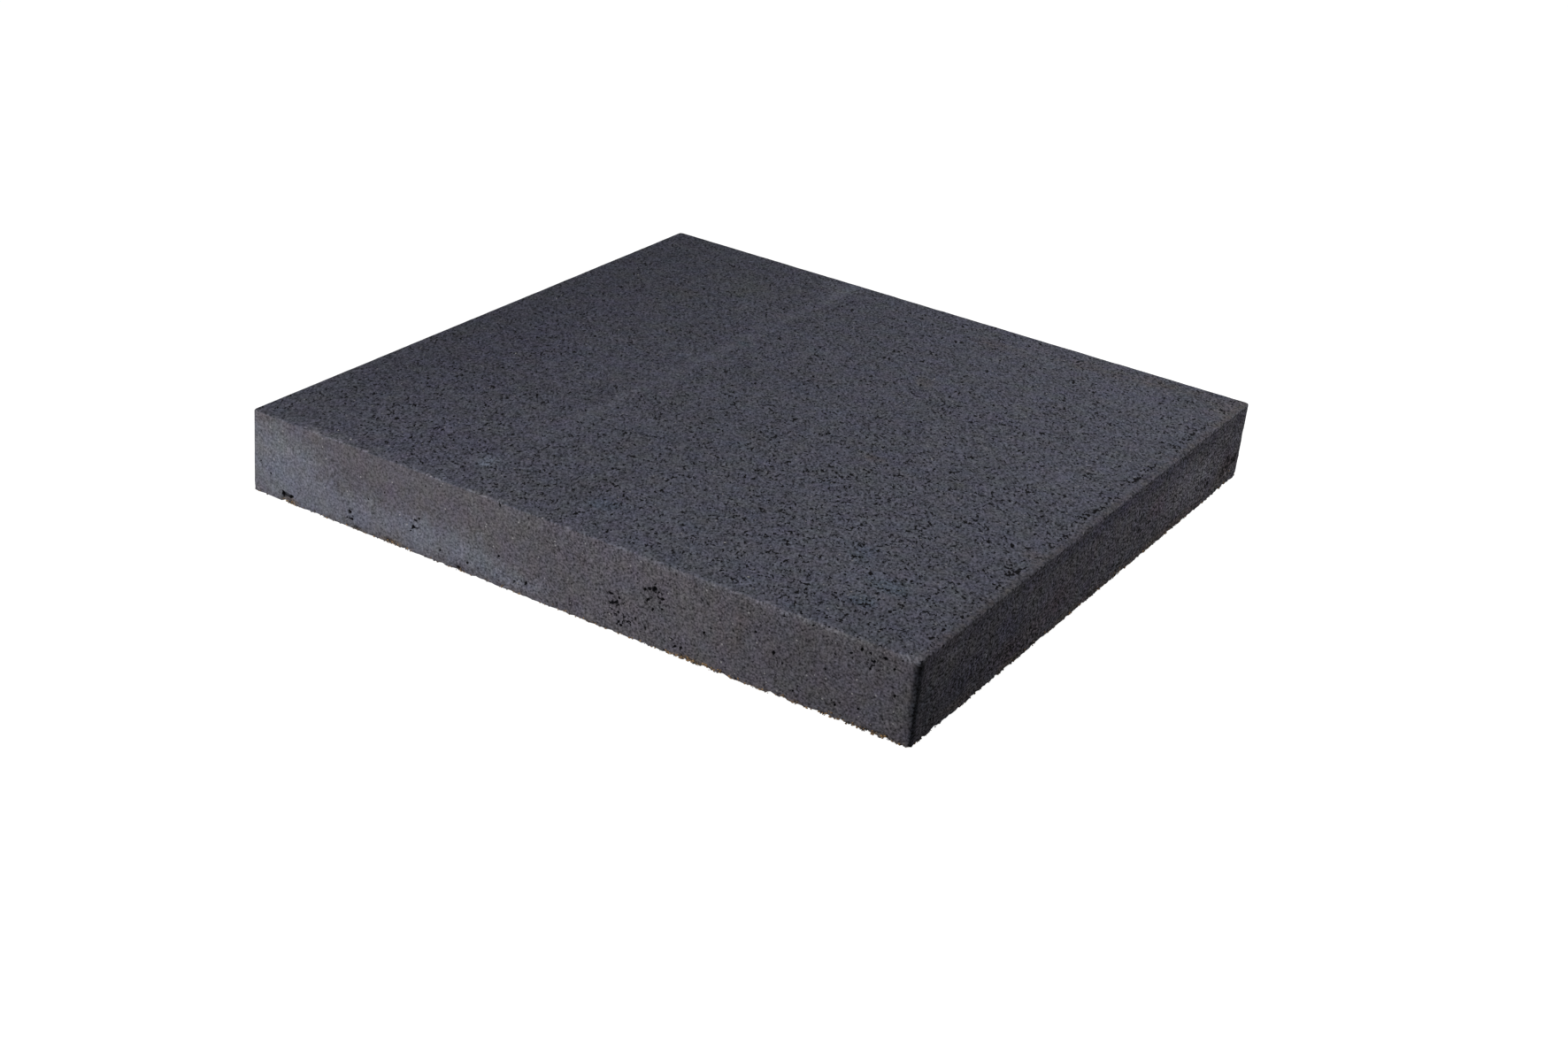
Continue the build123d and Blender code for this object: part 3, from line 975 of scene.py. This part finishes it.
class SlabFinish(bpy.types.PropertyGroup):
    paste_colour: colour_field("Paste", "Cement paste on the walking face", (0.0935, 0.0955, 0.120))
    skin_colour: colour_field("Skin", "Smoother cement skin on the sides", (0.101, 0.095, 0.109))
    lime_colour: colour_field("Lime bloom", "Pale bluish bloom", (0.143, 0.150, 0.183))
    # Chalk also carries the painted highlight along the arrises
    chalk_and_highlight_colour: colour_field("Chalk", "Whitish paste at arrises and corners", (0.171, 0.168, 0.195))
    olive_colour: colour_field("Olive stain", "Greenish grey patches", (0.095, 0.098, 0.102))
    teal_colour: colour_field("Teal tint", "Blue green patches", (0.070, 0.092, 0.124))
    brown_colour: colour_field("Brown stain", "Brown of the sand at the edges", (0.105, 0.088, 0.078))
    rose_colour: colour_field("Rose tint", "Reddish lilac patches", (0.112, 0.094, 0.116))
    violet_colour: colour_field("Violet tint", "Violet grey of a smooth press", (0.087, 0.084, 0.121))
    # Painted shade inside open pores and pits
    pore_shade_colour: colour_field("Pore", "Depth of an open pore", (0.004, 0.004, 0.005))
    grain_size: length_field("Grain size", "Width of the sand grains", 4.0)
    seat_spacing: length_field(
        "Seat spacing", "Size of the cells that hold one lost grain's round seat each", 5.0)
    # Specks: single white grains, partly painted glints
    speck_and_glint_colour: colour_field("Speck", "Single white grains", (0.30, 0.29, 0.30))
    speck_spacing: length_field("Speck spacing", "Size of the cells that hold one white grain each", 10.0)
    grain_height: length_field("Grain height", "Relief of the finest grain", 0.35)
    pore_depth: length_field("Pore depth", "Relief of gaps and pores", 0.5)
    wobble: number_field("Wobble", "How irregular the grains are, in millimetres", 2.2)
    draw: number_field("Draw", "How far the grain is drawn out along the press plate's way", 1.7)
    draw_angle: FloatProperty(
        name="Draw angle", description="Turn of the press plate's way from the y axis",
        default=math.radians(29), unit="ROTATION")


class SlabGrit(bpy.types.PropertyGroup):
    count: count_field("Grains", "Number of loose grains along the bed edge", 2400)
    size: length_field("Grain radius", "Radius of the loose grains", 0.75)
    dark_colour: colour_field("Dark grit", "Darkest grains", (0.05, 0.045, 0.045))
    ochre_colour: colour_field("Ochre grit", "Warm sand grains", (0.33, 0.205, 0.10))
    white_colour: colour_field("White grains", "Single quartz grains", (0.34, 0.33, 0.33))
    seed: count_field("Seed", "Start of the random numbers", 11)


class StudioSettings(bpy.types.PropertyGroup):
    floor_colour: colour_field("Floor", "What the object sees of the floor", (0.35, 0.35, 0.35))
    floor_shadow: number_field("Shadow depth", "How much of the floor's white the lamps give", 0.4)
    front_power: number_field("Front lamp", "Low lamp at the front, in watts", 8.1)
    back_power: number_field("Back lamp", "Lamp at the back right, in watts", 3.2)
    world_strength: number_field("Room light", "Light from all around", 0.05)
    lens: number_field("Lens", "Focal length in millimetres", 53.66)


class SLAB_OT_slab(bpy.types.Operator):
    """Make the slab's whole surface and put it in the place of its plain solid"""
    bl_idname = "slab.make_slab"
    bl_label = "Make the slab"

    def execute(self, context):
        points, sizes, corners, masks = slab_surface(context.scene.slab_shape)
        material = concrete_material(context.scene.slab_finish)
        piece = mesh_object("slab_surface", points, sizes, corners, material, masks)
        piece.data.set_sharp_from_angle(angle=SHARP_ANGLE)
        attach(piece, BODY)
        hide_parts(NODE)
        return {"FINISHED"}


class SLAB_OT_grit(bpy.types.Operator):
    """Make the loose grit of the bed edge and the single white grains"""
    bl_idname = "slab.make_grit"
    bl_label = "Make the grit"

    def execute(self, context):
        grit = context.scene.slab_grit
        points, counts, corners, tones = grit_surface(context.scene.slab_shape, grit)
        piece = mesh_object("bed_grit", points, counts, corners, grit_material(grit), tones)
        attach(piece, BODY)
        return {"FINISHED"}


def aimed(place, aim, roll=0.0):
    """Matrix of a camera or lamp at a place, looking at the aim, turned by roll about its line of sight."""
    look = (Vector(aim) - Vector(place)).normalized()
    level = look.cross(Vector((0, 0, 1))).normalized()
    upright = level.cross(look)
    right = level * math.cos(roll) + upright * math.sin(roll)
    up = upright * math.cos(roll) - level * math.sin(roll)
    turn = Matrix((right, up, -look)).transposed()
    return Matrix.Translation(place) @ turn.to_4x4()


def add_lamp(name, place, width, power):
    """A square area lamp that looks at the origin and that the camera doesn't see."""
    light = bpy.data.lights.new(name, "AREA")
    light.size = width
    light.energy = power
    lamp = bpy.data.objects.new(name, light)
    lamp.visible_camera = False
    lamp.matrix_world = aimed(place, (0, 0, 0))
    bpy.context.scene.collection.objects.link(lamp)


class SLAB_OT_studio(bpy.types.Operator):
    """Make the floor, the lamps, the room light and the camera"""
    bl_idname = "slab.make_studio"
    bl_label = "Make the studio"

    def execute(self, context):
        studio = context.scene.slab_studio
        corners = FLOOR_REACH * np.array([[-1, -1, 0], [1, -1, 0], [1, 1, 0], [-1, 1, 0]])
        floor = mesh_object("floor", corners, np.array([4]), np.arange(4), floor_material(studio))
        add_lamp("front_lamp", FRONT_LAMP, FRONT_LAMP_WIDTH, studio.front_power)
        add_lamp("back_lamp", BACK_LAMP, BACK_LAMP_WIDTH, studio.back_power)
        world = bpy.data.worlds.new("studio")
        context.scene.world = world
        recipe = Recipe(world)
        room = recipe.add("Background", {}, {"Strength": studio.world_strength, "Color": opaque([1.0] * 3)})
        white = recipe.add("Background", {}, {"Strength": 1.0, "Color": opaque([1.0] * 3)})
        mixed = recipe.add("MixShader", {}, {0: background_rays(recipe), 1: room, 2: white})
        recipe.add("OutputWorld", {}, {"Surface": mixed})

        lens = bpy.data.cameras.new("camera")
        lens.lens, lens.sensor_width = studio.lens, SENSOR_WIDTH
        lens.clip_start, lens.clip_end = 0.05, 50.0
        camera = bpy.data.objects.new("camera", lens)
        camera.matrix_world = aimed(CAMERA, CAMERA_AIM, CAMERA_ROLL)
        context.scene.collection.objects.link(camera)
        context.scene.camera = camera
        context.scene.view_settings.view_transform = "Standard"
        return {"FINISHED"}


class SLAB_PT_panel(bpy.types.Panel):
    """Sidebar panel of the paving slab"""
    bl_label = "Paving slab"
    bl_idname = "SLAB_PT_panel"
    bl_space_type = "VIEW_3D"
    bl_region_type = "UI"
    bl_category = "Paving slab"

    def draw(self, context):
        for name, group in GROUPS.items():
            box = self.layout.box()
            for field in group.__annotations__:
                box.prop(getattr(context.scene, name), field)
        for operator in OPERATORS:
            self.layout.operator(operator.bl_idname)


OPERATORS = (SLAB_OT_slab, SLAB_OT_grit, SLAB_OT_studio)
GROUPS = {"slab_shape": SlabShape, "slab_finish": SlabFinish, "slab_grit": SlabGrit,
          "slab_studio": StudioSettings}


def register():
    for cls in (*GROUPS.values(), *OPERATORS, SLAB_PT_panel):
        bpy.utils.register_class(cls)
    for name, cls in GROUPS.items():
        setattr(bpy.types.Scene, name, PointerProperty(type=cls))


def unregister():
    for name in GROUPS:
        delattr(bpy.types.Scene, name)
    for cls in reversed((*GROUPS.values(), *OPERATORS, SLAB_PT_panel)):
        bpy.utils.unregister_class(cls)


def main():
    register()
    bpy.ops.slab.make_slab()
    bpy.ops.slab.make_grit()
    bpy.ops.slab.make_studio()


if __name__ == "__main__":
    main()
